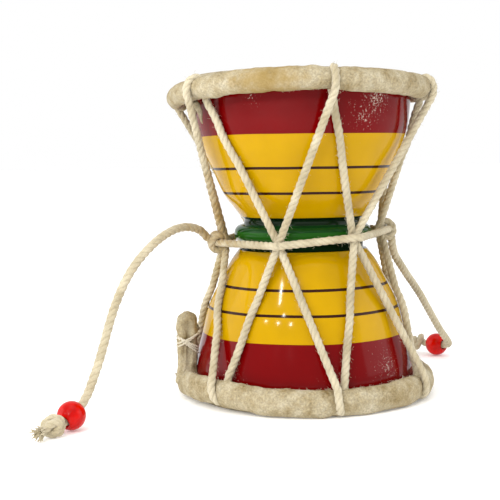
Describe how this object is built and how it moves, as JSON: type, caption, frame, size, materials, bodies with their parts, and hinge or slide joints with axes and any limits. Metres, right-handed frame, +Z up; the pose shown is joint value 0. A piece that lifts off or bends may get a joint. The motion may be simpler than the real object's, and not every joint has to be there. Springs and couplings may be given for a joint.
{
  "type": "damaru drum",
  "caption": "Small turned hourglass drum with laced skin heads, a cord round its waist and striker cords that end in a bead and a knot.",
  "frame": {"origin": "centre of the lower head's flat underside, on the surface that the drum stands on", "axes": "+Z up along the drum's axis; -Y is the front"},
  "size_m": [0.1557, 0.1715, 0.1238],
  "materials": {
    "lacquered_wood": "turned wood under glossy lac in red, yellow and dark green bands with thin dark lines",
    "rawhide": "matte untanned skin, cream with tan mottling",
    "cotton_rope": "soft twisted natural cotton, slightly fuzzy",
    "red_bead": "glossy moulded red plastic"
  },
  "bodies": {
    "root": {"drum_shell": "lacquered_wood", "top_drumhead": "rawhide", "bottom_drumhead": "rawhide", "tail_binding": "cotton_rope", "lacing_rope": "cotton_rope", "waist_cord": "cotton_rope", "striker_cord_left": "cotton_rope", "striker_cord_right": "cotton_rope", "striker_bead_left": "red_bead", "striker_bead_right": "red_bead", "striker_knot_left": "cotton_rope", "striker_knot_right": "cotton_rope"}
  },
  "joints": []
}
